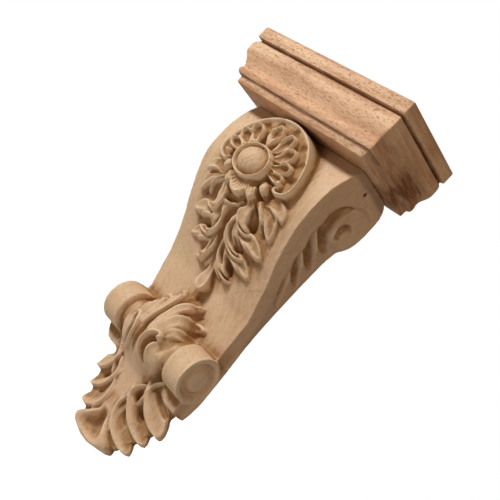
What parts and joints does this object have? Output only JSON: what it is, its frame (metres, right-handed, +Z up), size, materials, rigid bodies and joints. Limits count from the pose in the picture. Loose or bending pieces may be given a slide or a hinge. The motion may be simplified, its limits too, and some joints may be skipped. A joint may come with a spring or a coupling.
{
  "type": "carved wood corbel",
  "caption": "Carved wood wall bracket with a moulded cap block, scrolled sides, a rosette, a hanging acanthus leaf, side rolls and a leaf foot.",
  "frame": {"origin": "on the flat back of the body, where it is fixed to the wall, 120 mm below the top of the cap", "axes": "+Y into the wall, +Z up, X across the face"},
  "size_m": [0.15, 0.074, 0.2934],
  "materials": {
    "cap_wood": "bare sanded wood, fine pores along the width",
    "body_wood": "bare carved wood, grain along the height"
  },
  "bodies": {
    "root": {"cap": "cap_wood", "body": "body_wood"}
  },
  "joints": []
}
